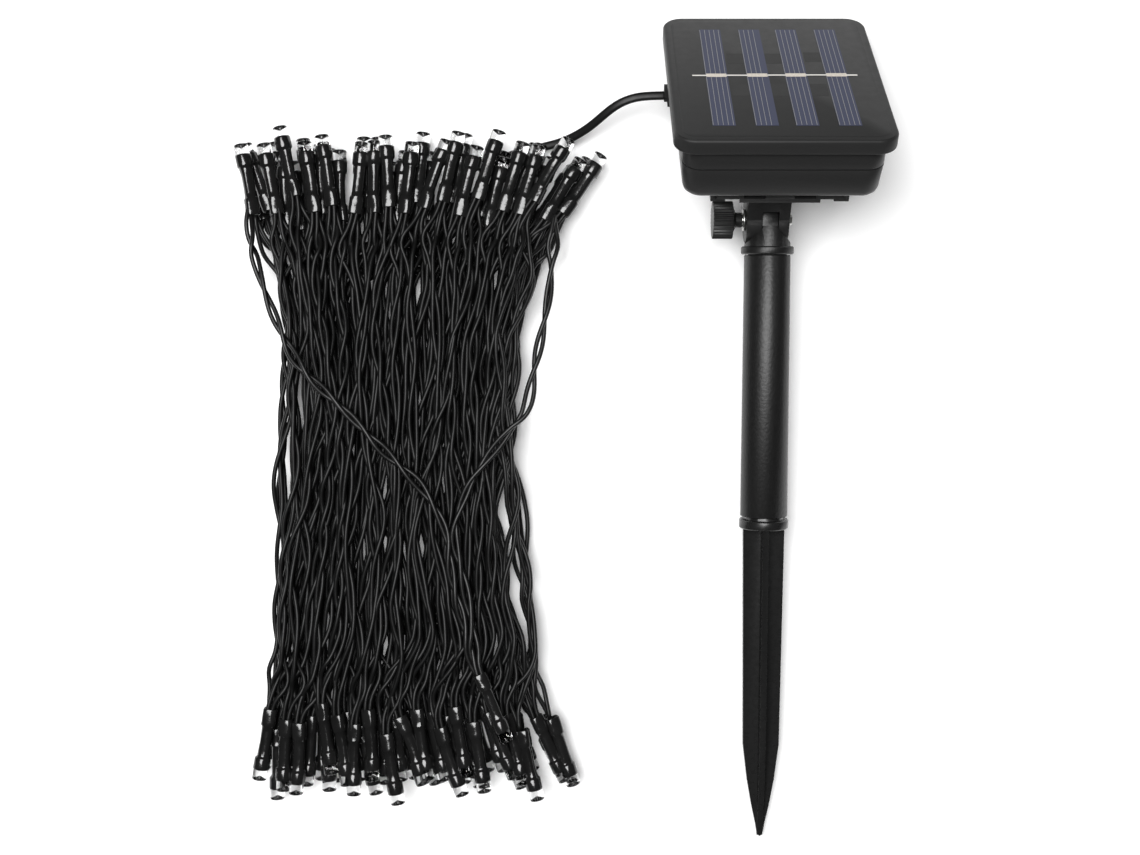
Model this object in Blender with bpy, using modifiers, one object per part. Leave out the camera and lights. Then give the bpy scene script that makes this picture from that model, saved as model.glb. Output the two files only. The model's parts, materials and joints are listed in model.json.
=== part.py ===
# Solar string lights: a square solar housing on a folding ground stake, with its
# hundred-lamp string lying in a hank beside it.
# Metres, +Z up. The ground is Z = 0, the stake axis is X = 0, and +Y runs from the
# spike's point to the housing. The housing lies tipped on its far lower edge.
import math

import bmesh
import bpy
from mathutils import Matrix

# Placing of the two halves of the clamp joint
PANEL_TILT = math.radians(49.2)
STAKE_DROOP = math.radians(6.1)
PIVOT_Y = 0.0848
PIVOT_Z = 0.0306
GAP = 0.0003

# Housing, measured from the pivot: y towards the far edge, z out through the cells
CENTRE_Y = 0.0191
UNDERSIDE = 0.0274
SEAM = 0.0404
RIM_BASE = 0.0480
FACE = 0.0538
LID_SIZE = (0.0826, 0.1000)
LID_CORNER = 0.0080
CASE_SIZE = (0.0755, 0.0955)
CASE_CORNER = 0.0070
CASE_DRAFT = 0.0009
CASE_WALL = 0.0020
CASE_CEILING = 0.0455
FLOOR_FILLET = 0.0030
RECESS_SIZE = (0.0756, 0.0930)
LEDGE = 0.0508
GASKET_DEPTH = 0.0011
WINDOW_THICKNESS = 0.0004
LAYER_GAP = 0.0001
CELL_THICKNESS = 0.00015
RIBBON_THICKNESS = 0.00008
STRIP_WIDTH = 0.0085
STRIP_LENGTH = 0.0780
STRIP_CENTRES = (-0.0226, -0.0067, 0.0082, 0.0240)
SCREW_X = 0.0305
SCREW_Y = 0.0405
SCREW_BOSS_TOP = 0.0335
BUTTON_X = 0.0120
BUTTON_Y = 0.0270
BUTTON_RADIUS = 0.0040
BATTERY_Y = 0.0450
BATTERY_Z = 0.0369
BATTERY_RADIUS = 0.0071
BATTERY_LENGTH = 0.0490
BOARD_SIZE = (0.0520, 0.0270, 0.0016)
BOARD_Y = 0.0215
BOARD_Z = 0.0370
GLAND_Y = 0.0430
GLAND_Z = 0.0334

# Clamp bracket, knob and bolt
PLATE_FRONT = -0.0250
PLATE_BACK = 0.0170
PLATE_BASE = 0.0239
PLATE_THICKNESS = 0.0016
PLATE_HALF = 0.0240
LOBE_RADIUS = 0.0090
EAR_LEFT = (-0.0093, -0.0033)
EAR_RIGHT = (0.0033, 0.0076)
BLOCK_HALF = 0.0076
SLOT_TOP = 0.0086
BOLT_RADIUS = 0.0020
KNOB_RADIUS = 0.0076
KNOB_RIBS = 30
KNOB_LEFT = -0.0223
KNOB_RIGHT = -0.0143

# Stake, measured down from the pivot
TONGUE_HALF = 0.0030
TONGUE_RADIUS = 0.0080
HEAD_RADIUS = 0.0092
HEAD_TOP = 0.0025
COLLAR_RADIUS = 0.0106
COLLAR_TOP = 0.0105
COLLAR_BASE = 0.0137
SPIGOT_RADIUS = 0.0078
TUBE_BORE = 0.0081
TUBE_BASE = 0.1200
SPIKE_COLLAR = (0.1213, 0.1250)
SPIKE_COLLAR_RADIUS = 0.01005
BLADE_THICKNESS = 0.0024
SPIKE_TIP = 0.2558
# Distance down the stake and full width of a blade there
BLADE_WIDTHS = ((0.1242, 0.0169), (0.1980, 0.0153), (0.2160, 0.0149), (0.2310, 0.0113),
                (0.2420, 0.0074), (0.2505, 0.0037), (0.2549, 0.0022))

# String: three layers of lamps lie at each end of the hank
LAMP_LENGTH = 0.0290
LAMP_RADIUS = 0.0030
LENS_RADIUS = 0.0026
LAMP_LAYERS = (0.0069, 0.0131, 0.0193)
LAMPS_IN_LAYER = (17, 17, 16)
HANK_BASE = 0.0038
HANK_TOP = 0.0215
# Edge of the hank, right side from top to bottom and then left side back up
HANK_EDGE = ((-0.0860, 0.0830), (-0.0905, 0.0700), (-0.0985, 0.0400), (-0.1010, 0.0050),
             (-0.1005, -0.0300), (-0.0970, -0.0700), (-0.0860, -0.1090),
             (-0.1450, -0.1115), (-0.2050, -0.1090), (-0.2025, -0.0700),
             (-0.1985, -0.0300), (-0.1975, 0.0050), (-0.1985, 0.0400),
             (-0.2055, 0.0700), (-0.2090, 0.0830), (-0.1480, 0.0850))
LEAD_RADIUS = 0.0015
LEAD_FOLD_TOP = 0.0035
LEAD_ROUTE = ((-0.0413, 0.1372, 0.0198), (-0.0518, 0.1367, 0.0196), (-0.0591, 0.1344, 0.0183),
              (-0.0642, 0.1312, 0.0158), (-0.0699, 0.1270, 0.0120), (-0.0758, 0.1237, 0.0082),
              (-0.0833, 0.1209, 0.0046), (-0.0907, 0.1194, 0.0027), (-0.0983, 0.1176, 0.0019),
              (-0.1039, 0.1163, 0.0018), (-0.1110, 0.1125, 0.0018), (-0.1155, 0.1060, 0.0018),
              (-0.1175, 0.0980, 0.0018), (-0.1180, 0.0843, 0.0018))


def clear_scene():
    for old in list(bpy.data.objects):
        bpy.data.objects.remove(old, do_unlink=True)


def new_collection(name):
    group = bpy.data.collections.new(name)
    bpy.context.scene.collection.children.link(group)
    return group


def new_material(name, colour, roughness, metallic=0.0):
    material = bpy.data.materials.new(name)
    material.use_nodes = True
    shader = material.node_tree.nodes["Principled BSDF"]
    shader.inputs["Base Color"].default_value = (*colour, 1.0)
    shader.inputs["Roughness"].default_value = roughness
    shader.inputs["Metallic"].default_value = metallic
    return material


clear_scene()
PARTS = new_collection("solar_string_lights")
CUTTERS = new_collection("cutters")

CASE_BLACK = new_material("case_black", (0.016, 0.016, 0.017), 0.42)
STAKE_BLACK = new_material("stake_black", (0.013, 0.013, 0.014), 0.48)
SPIKE_BLACK = new_material("spike_black", (0.011, 0.011, 0.012), 0.30)
FACE_GREY = new_material("face_grey", (0.060, 0.060, 0.062), 0.50)
CELL_BLUE = new_material("cell_blue", (0.012, 0.017, 0.055), 0.25)
WINDOW_SMOKE = new_material("window_smoke", (0.070, 0.070, 0.074), 0.30)
TINNED = new_material("tinned_copper", (0.62, 0.60, 0.55), 0.35, 1.0)
STEEL = new_material("zinc_steel", (0.55, 0.55, 0.54), 0.32, 1.0)
RUBBER = new_material("black_rubber", (0.014, 0.014, 0.014), 0.65)
BOARD_GREEN = new_material("board_green", (0.020, 0.110, 0.045), 0.45)
BATTERY_WRAP = new_material("battery_wrap", (0.030, 0.220, 0.090), 0.35)
WIRE_BLACK = new_material("wire_black", (0.012, 0.012, 0.012), 0.38)
LAMP_BLACK = new_material("lamp_black", (0.010, 0.010, 0.010), 0.25)


def new_frame(name, angle):
    # Empty on the clamp's axis, turned about X
    frame = bpy.data.objects.new(name, None)
    frame.location = (0.0, PIVOT_Y, PIVOT_Z)
    frame.rotation_euler = (angle, 0.0, 0.0)
    PARTS.objects.link(frame)
    return frame


PANEL = new_frame("panel_frame", -PANEL_TILT)
STAKE = new_frame("stake_frame", STAKE_DROOP - math.pi / 2)


def add_object(name, data, material=None, frame=None, location=(0, 0, 0), turn=(0, 0, 0)):
    # A piece without a material is a tool for a Boolean
    obj = bpy.data.objects.new(name, data)
    obj.parent = frame
    obj.location = location
    obj.rotation_euler = turn
    if material is None:
        CUTTERS.objects.link(obj)
        obj.hide_render = True
        obj.display_type = "WIRE"
    else:
        PARTS.objects.link(obj)
        data.materials.append(material)
    return obj


def smooth(obj, degrees=35):
    obj.data.shade_smooth()
    obj.data.set_sharp_from_angle(angle=math.radians(degrees))
    return obj


def bevel_edges(bm, edges, width, steps):
    bmesh.ops.bevel(bm, geom=edges, offset=width, segments=steps, profile=0.5, affect="EDGES")


def block(name, low, high, material=None, frame=None, corner=0.0, top=0.0, bottom=0.0,
          draft=0.0, steps=5):
    # Box between two corners, with round upright edges, round rims and a narrower base
    size = [b - a for a, b in zip(low, high)]
    middle = [(a + b) / 2 for a, b in zip(low, high)]
    bm = bmesh.new()
    bmesh.ops.create_cube(bm, size=1.0)
    bmesh.ops.scale(bm, vec=size, verts=bm.verts)
    if draft > 0:
        for vert in bm.verts:
            if vert.co.z < 0:
                vert.co.x -= math.copysign(draft, vert.co.x)
                vert.co.y -= math.copysign(draft, vert.co.y)
    if corner > 0:
        uprights = [e for e in bm.edges if abs(e.verts[0].co.z - e.verts[1].co.z) > size[2] / 2]
        bevel_edges(bm, uprights, corner, steps)
    for side, width in ((1, top), (-1, bottom)):
        if width > 0:
            rim = [e for e in bm.edges if all(v.co.z * side > size[2] * 0.499 for v in e.verts)]
            bevel_edges(bm, rim, width, 3)
    mesh = bpy.data.meshes.new(name)
    bm.to_mesh(mesh)
    bm.free()
    return smooth(add_object(name, mesh, material, frame, middle))


def rod(name, radius, start, end, material=None, frame=None, axis="Z", at=(0, 0), sides=24):
    # Cylinder along one axis of its frame; at gives its place on the two other axes
    bm = bmesh.new()
    bmesh.ops.create_cone(bm, cap_ends=True, segments=sides, radius1=radius, radius2=radius,
                          depth=end - start)
    if axis == "X":
        bmesh.ops.rotate(bm, matrix=Matrix.Rotation(math.pi / 2, 3, "Y"), verts=bm.verts)
        location = ((start + end) / 2, at[0], at[1])
    else:
        location = (at[0], at[1], (start + end) / 2)
    mesh = bpy.data.meshes.new(name)
    bm.to_mesh(mesh)
    bm.free()
    return smooth(add_object(name, mesh, material, frame, location))


def turned(name, profile, material=None, frame=None, sides=32, closed=False, location=(0, 0, 0),
           turn=(0, 0, 0)):
    # Profile of (radius, height) points, top to bottom on the outer side, turned about Z
    count = len(profile)
    edges = [(i, i + 1) for i in range(count - 1)]
    if closed:
        edges.append((count - 1, 0))
    mesh = bpy.data.meshes.new(name)
    mesh.from_pydata([(radius, 0.0, height) for radius, height in profile], edges, [])
    obj = add_object(name, mesh, material, frame, location, turn)
    screw = obj.modifiers.new("Turn", "SCREW")
    screw.axis = "Z"
    screw.steps = sides
    screw.render_steps = sides
    screw.use_merge_vertices = True
    screw.merge_threshold = 0.00001
    screw.use_smooth_shade = False
    return obj


def to_mesh_object(curve_object, material, frame):
    # The evaluated curve becomes a mesh, with its caps welded on
    depsgraph = bpy.context.evaluated_depsgraph_get()
    mesh = bpy.data.meshes.new_from_object(curve_object.evaluated_get(depsgraph))
    name = curve_object.name
    matrix = curve_object.matrix_world.copy()
    bpy.data.objects.remove(curve_object)
    bm = bmesh.new()
    bm.from_mesh(mesh)
    bmesh.ops.remove_doubles(bm, verts=bm.verts, dist=0.000001)
    bmesh.ops.recalc_face_normals(bm, faces=bm.faces)
    bm.to_mesh(mesh)
    bm.free()
    mesh.materials.clear()
    obj = add_object(name, mesh, material, frame)
    obj.matrix_world = matrix
    return smooth(obj)


def outline_plate(name, points, thickness, material=None, frame=None, location=(0, 0, 0),
                  turn=(0, 0, 0)):
    # Flat outline with half the thickness on each side of its plane
    curve = bpy.data.curves.new(name, "CURVE")
    curve.dimensions = "2D"
    curve.fill_mode = "BOTH"
    curve.extrude = thickness / 2
    spline = curve.splines.new("POLY")
    spline.points.add(len(points) - 1)
    for point, (x, y) in zip(spline.points, points):
        point.co = (x, y, 0.0, 1.0)
    spline.use_cyclic_u = True
    obj = add_object(name, curve, None, frame, location, turn)
    bpy.context.view_layer.update()
    return to_mesh_object(obj, material, frame)


def smooth_route(points, pieces, closed=False):
    # Catmull-Rom curve through the points, with the same number of pieces in each span
    count = len(points)
    spans = count if closed else count - 1
    route = []
    for i in range(spans):
        if closed:
            around = [points[(i + k) % count] for k in (-1, 0, 1, 2)]
        else:
            around = [points[min(max(i + k, 0), count - 1)] for k in (-1, 0, 1, 2)]
        for step in range(pieces):
            t = step / pieces
            route.append(tuple(
                0.5 * (2 * b + (c - a) * t + (2 * a - 5 * b + 4 * c - d) * t * t
                       + (3 * b - a - 3 * c + d) * t * t * t)
                for a, b, c, d in zip(*around)))
    if not closed:
        route.append(tuple(points[-1]))
    return route


def boolean(obj, tool, operation):
    modifier = obj.modifiers.new(tool.name, "BOOLEAN")
    modifier.object = tool
    modifier.operation = operation
    modifier.solver = "EXACT"
    modifier.use_self = True


def join(obj, *tools):
    for tool in tools:
        boolean(obj, tool, "UNION")


def cut(obj, *tools):
    for tool in tools:
        boolean(obj, tool, "DIFFERENCE")


def footprint(size, low_z, high_z):
    # Corners of a box centred on the housing
    half_x = size[0] / 2
    half_y = size[1] / 2
    return (-half_x, CENTRE_Y - half_y, low_z), (half_x, CENTRE_Y + half_y, high_z)


def screw_places():
    return [(x, CENTRE_Y + y) for x in (-SCREW_X, SCREW_X) for y in (-SCREW_Y, SCREW_Y)]


def make_lid():
    lid = block("lid_frame", *footprint(LID_SIZE, RIM_BASE, FACE), CASE_BLACK, PANEL,
                corner=LID_CORNER, top=0.0010, bottom=0.0005, steps=10)
    recess = block("cut_recess", *footprint(RECESS_SIZE, LEDGE, FACE + 0.001), frame=PANEL,
                   corner=0.0045)
    through = block("cut_lid_opening", *footprint((0.056, 0.076), RIM_BASE - 0.001, LEDGE + 0.001),
                    frame=PANEL, corner=0.003, steps=3)
    gasket_top = RIM_BASE + GASKET_DEPTH
    groove = block("cut_gasket_groove", *footprint((0.0676, 0.0876), RIM_BASE - 0.001, gasket_top + GAP),
                   frame=PANEL, corner=0.004, steps=3)
    island = block("cut_groove_island", *footprint((0.0624, 0.0824), RIM_BASE - 0.002, LEDGE - 0.0008),
                   frame=PANEL, corner=0.003, steps=3)
    cut(groove, island)
    cut(lid, recess, through, groove)

    gasket = block("lid_gasket", *footprint((0.0670, 0.0870), RIM_BASE, gasket_top), RUBBER, PANEL,
                   corner=0.0037, steps=3)
    gasket_hole = block("cut_gasket", *footprint((0.0630, 0.0830), RIM_BASE - 0.001, LEDGE), frame=PANEL,
                        corner=0.0033, steps=3)
    cut(gasket, gasket_hole)


def make_solar_module():
    # From the face down: clear film, bus ribbon, cell strips and the potted backing
    inset = (RECESS_SIZE[0] - 2 * GAP, RECESS_SIZE[1] - 2 * GAP)
    window_top = FACE - LAYER_GAP
    window_base = window_top - WINDOW_THICKNESS
    ribbon_top = window_base - LAYER_GAP
    ribbon_base = ribbon_top - RIBBON_THICKNESS
    strip_top = ribbon_base - LAYER_GAP
    strip_base = strip_top - CELL_THICKNESS
    block("solar_backing", *footprint(inset, LEDGE + GAP, strip_base - LAYER_GAP), FACE_GREY,
          PANEL, corner=0.0042)
    for number, x in enumerate(STRIP_CENTRES, 1):
        low = (x - STRIP_WIDTH / 2, CENTRE_Y - STRIP_LENGTH / 2, strip_base)
        high = (x + STRIP_WIDTH / 2, CENTRE_Y + STRIP_LENGTH / 2, strip_top)
        block(f"cell_strip_{number}", low, high, CELL_BLUE, PANEL)
    block("bus_ribbon", (-0.0320, CENTRE_Y - 0.0006, ribbon_base),
          (0.0320, CENTRE_Y + 0.0006, ribbon_top), TINNED, PANEL)
    block("solar_window", *footprint(inset, window_base, window_top), WINDOW_SMOKE, PANEL,
          corner=0.0042)


def make_upper_case():
    case = block("upper_case", *footprint(CASE_SIZE, SEAM, RIM_BASE - GAP), CASE_BLACK, PANEL,
                 corner=CASE_CORNER, bottom=0.0004, steps=8)
    inner = (CASE_SIZE[0] - 2 * CASE_WALL, CASE_SIZE[1] - 2 * CASE_WALL)
    hollow = block("cut_upper_hollow", *footprint(inner, SEAM - 0.001, CASE_CEILING), frame=PANEL,
                   corner=CASE_CORNER - CASE_WALL)
    cut(case, hollow)
    lead_hole = rod("cut_lead_hole", 0.003, 0.043, 0.050, frame=PANEL, at=(0.0, CENTRE_Y), sides=12)
    cut(case, lead_hole)
    for number, place in enumerate(screw_places(), 1):
        boss = rod(f"join_upper_boss_{number}", 0.0031, SCREW_BOSS_TOP + GAP, CASE_CEILING + 0.0005, frame=PANEL,
                   at=place, sides=12)
        join(case, boss)
    for number, place in enumerate(screw_places(), 1):
        pilot = rod(f"cut_pilot_{number}", 0.0015, SCREW_BOSS_TOP - 0.001, 0.0430, frame=PANEL,
                    at=place, sides=12)
        cut(case, pilot)


def make_lower_case():
    top = SEAM - GAP
    case = block("lower_case", *footprint(CASE_SIZE, UNDERSIDE, top), CASE_BLACK, PANEL,
                 corner=CASE_CORNER, bottom=FLOOR_FILLET, draft=CASE_DRAFT, steps=8)
    inner = (CASE_SIZE[0] - 2 * CASE_WALL - 2 * CASE_DRAFT,
             CASE_SIZE[1] - 2 * CASE_WALL - 2 * CASE_DRAFT)
    floor_top = UNDERSIDE + CASE_WALL
    hollow = block("cut_lower_hollow", *footprint(inner, floor_top, top + 0.001), frame=PANEL,
                   corner=CASE_CORNER - CASE_WALL, bottom=0.0010)
    cut(case, hollow)

    # Hooked rails under the floor hold the bracket's flanges, and a rib stops it
    for side, name in ((-1, "left"), (1, "right")):
        hook = [(0.0244, UNDERSIDE + 0.001), (0.0244, 0.0251), (0.0206, 0.0251), (0.0206, 0.0239),
                (0.0262, 0.0239), (0.0262, UNDERSIDE + 0.001)]
        rail = outline_plate(f"join_rail_{name}", [(side * x, z) for x, z in hook],
                             PLATE_BACK - PLATE_FRONT - 0.002, None, PANEL,
                             (0.0, (PLATE_BACK + PLATE_FRONT) / 2, 0.0), (math.pi / 2, 0.0, 0.0))
        join(case, rail)
    stop = block("join_stop_rib", (-0.0200, PLATE_BACK + 2 * GAP, 0.0246),
                 (0.0200, PLATE_BACK + 0.0022, UNDERSIDE + 0.001), frame=PANEL)
    join(case, stop)

    # Bosses for the screws, posts for the board and end walls for the cell
    for number, place in enumerate(screw_places(), 1):
        boss = rod(f"join_lower_boss_{number}", 0.0036, floor_top - 0.0005, SCREW_BOSS_TOP,
                   frame=PANEL, at=place, sides=12)
        join(case, boss)
    for side, name in ((-1, "left"), (1, "right")):
        post = rod(f"join_board_post_{name}", 0.0020, floor_top - 0.0005, BOARD_Z - GAP,
                   frame=PANEL, at=(side * 0.0210, 0.0140), sides=10)
        inner_x = side * 0.0272
        outer_x = side * 0.0286
        wall = block(f"join_cell_wall_{name}",
                     (min(inner_x, outer_x), BATTERY_Y - 0.0058, floor_top - 0.0005),
                     (max(inner_x, outer_x), BATTERY_Y + 0.0058, 0.0420), frame=PANEL)
        join(case, post, wall)

    for number, place in enumerate(screw_places(), 1):
        sink = rod(f"cut_sink_{number}", 0.0029, UNDERSIDE - 0.001, floor_top, frame=PANEL,
                   at=place, sides=16)
        hole = rod(f"cut_screw_hole_{number}", 0.0015, floor_top - 0.0005, SCREW_BOSS_TOP + 0.001,
                   frame=PANEL, at=place, sides=12)
        cut(case, sink, hole)
    for side, name in ((-1, "left"), (1, "right")):
        hole = rod(f"cut_button_{name}", BUTTON_RADIUS + GAP, UNDERSIDE - 0.001, floor_top + 0.001,
                   frame=PANEL, at=(side * BUTTON_X, BUTTON_Y), sides=24)
        cut(case, hole)
    gland_hole = block("cut_gland", (-0.0400, GLAND_Y - 0.0020, GLAND_Z - 0.0033),
                       (-0.0340, GLAND_Y + 0.0020, GLAND_Z + 0.0033), frame=PANEL)
    cut(case, gland_hole)


def make_case_screws():
    head_low = UNDERSIDE + 0.0002
    profile = [(0.0, 0.0130), (0.0009, 0.0120), (0.00115, 0.0112), (0.00115, 0.0016),
               (0.0026, 0.0014), (0.0024, 0.0003), (0.0017, 0.0), (0.0, 0.0)]
    for number, (x, y) in enumerate(screw_places(), 1):
        turned(f"case_screw_{number}", profile, STEEL, PANEL, 12, location=(x, y, head_low))


def make_electronics():
    board_low = (-BOARD_SIZE[0] / 2, BOARD_Y - BOARD_SIZE[1] / 2, BOARD_Z)
    board_high = (BOARD_SIZE[0] / 2, BOARD_Y + BOARD_SIZE[1] / 2, BOARD_Z + BOARD_SIZE[2])
    block("circuit_board", board_low, board_high, BOARD_GREEN, PANEL, corner=0.001, steps=2)

    # Controller chip under its resin blob, and the inductor, on the board's upper side
    component_base = BOARD_Z + BOARD_SIZE[2] + GAP
    rod("controller_chip", 0.0045, component_base, component_base + 0.0014, RUBBER, PANEL,
        at=(-0.0080, BOARD_Y), sides=16)
    rod("boost_inductor", 0.0030, component_base, component_base + 0.0040, FACE_GREY, PANEL,
        at=(0.0080, BOARD_Y), sides=16)

    half = BATTERY_LENGTH / 2
    profile = [(0.0, half + 0.0012), (0.0025, half + 0.0012), (0.0027, half + 0.0010),
               (0.0027, half), (BATTERY_RADIUS - 0.0008, half), (BATTERY_RADIUS, half - 0.0008),
               (BATTERY_RADIUS, 0.0006 - half), (BATTERY_RADIUS - 0.0006, -half), (0.0, -half)]
    turned("battery", profile, BATTERY_WRAP, PANEL, 24, location=(0.0, BATTERY_Y, BATTERY_Z),
           turn=(0.0, math.pi / 2, 0.0))

    for side, name in ((-1, "negative"), (1, "positive")):
        near = side * 0.0264
        far = side * 0.0269
        contact = block(f"battery_contact_{name}",
                        (min(near, far), BATTERY_Y - 0.0050, BATTERY_Z - 0.0050),
                        (max(near, far), BATTERY_Y + 0.0050, BATTERY_Z + 0.0050), STEEL, PANEL)
        if side < 0:
            # The spring end is a stub cone pressed out of the plate
            stub = turned("join_contact_stub", [(0.0, 0.0), (0.0016, 0.0), (0.0036, -0.0014),
                                                (0.0, -0.0014)], None, PANEL, 12,
                          location=(-0.0252, BATTERY_Y, BATTERY_Z), turn=(0.0, math.pi / 2, 0.0))
            join(contact, stub)


def make_buttons():
    # Each button travels up into its switch, which hangs under the board
    for side, name in ((-1, "power"), (1, "mode")):
        place = (side * BUTTON_X, BUTTON_Y)
        crown = UNDERSIDE - 0.0008
        skirt = UNDERSIDE + CASE_WALL + GAP
        profile = [(0.0, 0.0330), (0.0015, 0.0330), (0.0015, skirt + 0.0009),
                   (0.0052, skirt + 0.0009), (0.0052, skirt), (BUTTON_RADIUS, skirt),
                   (BUTTON_RADIUS, crown + 0.0004), (BUTTON_RADIUS - 0.0004, crown), (0.0, crown)]
        local = [(radius, height - crown) for radius, height in profile]
        turned(f"{name}_button", local, RUBBER, PANEL, 20, location=(*place, crown))
        low = (place[0] - 0.0030, place[1] - 0.0030, 0.0343)
        high = (place[0] + 0.0030, place[1] + 0.0030, BOARD_Z - GAP)
        block(f"{name}_switch", low, high, STEEL, PANEL)


def make_gland():
    gland = block("cable_grommet", (-0.0395, GLAND_Y - 0.0026, GLAND_Z - 0.0050),
                  (-0.0381, GLAND_Y + 0.0026, GLAND_Z + 0.0050), RUBBER, PANEL)
    neck = block("join_gland_neck", (-0.0383, GLAND_Y - 0.0017, GLAND_Z - 0.0030),
                 (-0.0340, GLAND_Y + 0.0017, GLAND_Z + 0.0030), frame=PANEL)
    nose = block("join_gland_nose", (-0.0410, GLAND_Y - 0.0021, GLAND_Z - 0.0030),
                 (-0.0393, GLAND_Y + 0.0021, GLAND_Z + 0.0030), frame=PANEL)
    inner = block("join_gland_lip", (-0.0345, GLAND_Y - 0.0026, GLAND_Z - 0.0037),
                  (-0.0331, GLAND_Y + 0.0026, GLAND_Z + 0.0037), frame=PANEL)
    join(gland, neck, nose, inner)


def make_bracket():
    top = PLATE_BASE + 0.0015 + PLATE_THICKNESS
    drop = PLATE_BASE + PLATE_THICKNESS
    hat = [(-PLATE_HALF, top), (-PLATE_HALF, PLATE_BASE + 0.0015), (-0.0153, PLATE_BASE + 0.0015),
           (-0.0153, PLATE_BASE), (0.0153, PLATE_BASE), (0.0153, PLATE_BASE + 0.0015),
           (PLATE_HALF, PLATE_BASE + 0.0015), (PLATE_HALF, top), (0.0137, top), (0.0137, drop),
           (-0.0137, drop), (-0.0137, top)]
    bracket = outline_plate("bracket", hat, PLATE_BACK - PLATE_FRONT, STAKE_BLACK, PANEL,
                            (0.0, (PLATE_BACK + PLATE_FRONT) / 2, 0.0), (math.pi / 2, 0.0, 0.0))
    tab_front = PLATE_FRONT + GAP
    tab = [(-0.0055, tab_front), (0.0055, tab_front), (0.0040, tab_front + 0.0070),
           (-0.0040, tab_front + 0.0070)]
    latch = outline_plate("join_latch_tab", tab, 0.0016, None, PANEL, (0.0, 0.0, drop + 0.0004))
    block_low = (EAR_LEFT[0], -BLOCK_HALF, 0.0)
    block_high = (EAR_RIGHT[1], BLOCK_HALF, PLATE_BASE + 0.0008)
    neck = block("join_clamp_block", block_low, block_high, frame=PANEL)
    lobes = rod("join_lobes", LOBE_RADIUS, EAR_LEFT[0] + 0.0001, EAR_RIGHT[1] - 0.0001,
                frame=PANEL, axis="X", sides=32)
    join(bracket, latch, neck, lobes)
    gusset = [(BLOCK_HALF - 0.001, PLATE_BASE + 0.0008), (BLOCK_HALF + 0.0060, PLATE_BASE + 0.0008),
              (BLOCK_HALF - 0.001, PLATE_BASE - 0.0080)]
    for side, name in ((-1, "front"), (1, "back")):
        rib = outline_plate(f"join_gusset_{name}", [(side * y, z) for y, z in gusset], 0.0030, None,
                            PANEL, (-0.0008, 0.0, 0.0), (math.pi / 2, 0.0, math.pi / 2))
        join(bracket, rib)
    slot = block("cut_ear_slot", (EAR_LEFT[1], -0.0120, -0.0120), (EAR_RIGHT[0], 0.0120, SLOT_TOP),
                 frame=PANEL)
    bore = rod("cut_ear_bore", BOLT_RADIUS + GAP, -0.0120, 0.0120, frame=PANEL, axis="X", sides=16)
    pocket = rod("cut_nut_pocket", 0.00445, 0.0053, 0.0120, frame=PANEL, axis="X", sides=6)
    cut(bracket, slot, bore, pocket)

    nut = rod("hex_nut", 0.0041, 0.0056, 0.0085, STEEL, PANEL, axis="X", sides=6)
    nut_bore = rod("cut_nut_bore", BOLT_RADIUS + GAP, 0.0040, 0.0100, frame=PANEL, axis="X",
                   sides=16)
    cut(nut, nut_bore)


def make_knob():
    # Ribs run along the knob: a wavy outline with four points to each rib
    points = []
    for i in range(KNOB_RIBS * 4):
        angle = 2 * math.pi * i / (KNOB_RIBS * 4)
        radius = KNOB_RADIUS - 0.0004 + 0.0004 * math.cos(KNOB_RIBS * angle)
        points.append((radius * math.cos(angle), radius * math.sin(angle)))
    knob = outline_plate("knob", points, KNOB_RIGHT - KNOB_LEFT, STAKE_BLACK, PANEL,
                         ((KNOB_LEFT + KNOB_RIGHT) / 2, 0.0, 0.0), (0.0, math.pi / 2, 0.0))
    neck_end = -0.0104
    neck = turned("join_knob_neck",
                  [(0.0, 0.0), (0.0030, 0.0), (0.0030, KNOB_RIGHT - neck_end + 0.0012),
                   (0.0058, KNOB_RIGHT - neck_end), (0.0058, KNOB_RIGHT - neck_end - 0.0010),
                   (0.0, KNOB_RIGHT - neck_end - 0.0010)], None, PANEL, 24,
                  location=(neck_end, 0.0, 0.0), turn=(0.0, math.pi / 2, 0.0))
    bore = rod("cut_knob_bore", BOLT_RADIUS + GAP, -0.0205, -0.0095, frame=PANEL, axis="X",
               sides=16)
    join(knob, neck)
    cut(knob, bore)
    rod("clamp_bolt", BOLT_RADIUS, -0.0202, 0.0096, STEEL, PANEL, axis="X", sides=16)
    washer = rod("clamp_washer", 0.0044, -0.0101, -0.0096, STEEL, PANEL, axis="X", sides=24)
    washer_bore = rod("cut_washer_bore", BOLT_RADIUS + GAP, -0.0110, -0.0090, frame=PANEL,
                      axis="X", sides=16)
    cut(washer, washer_bore)


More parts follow.
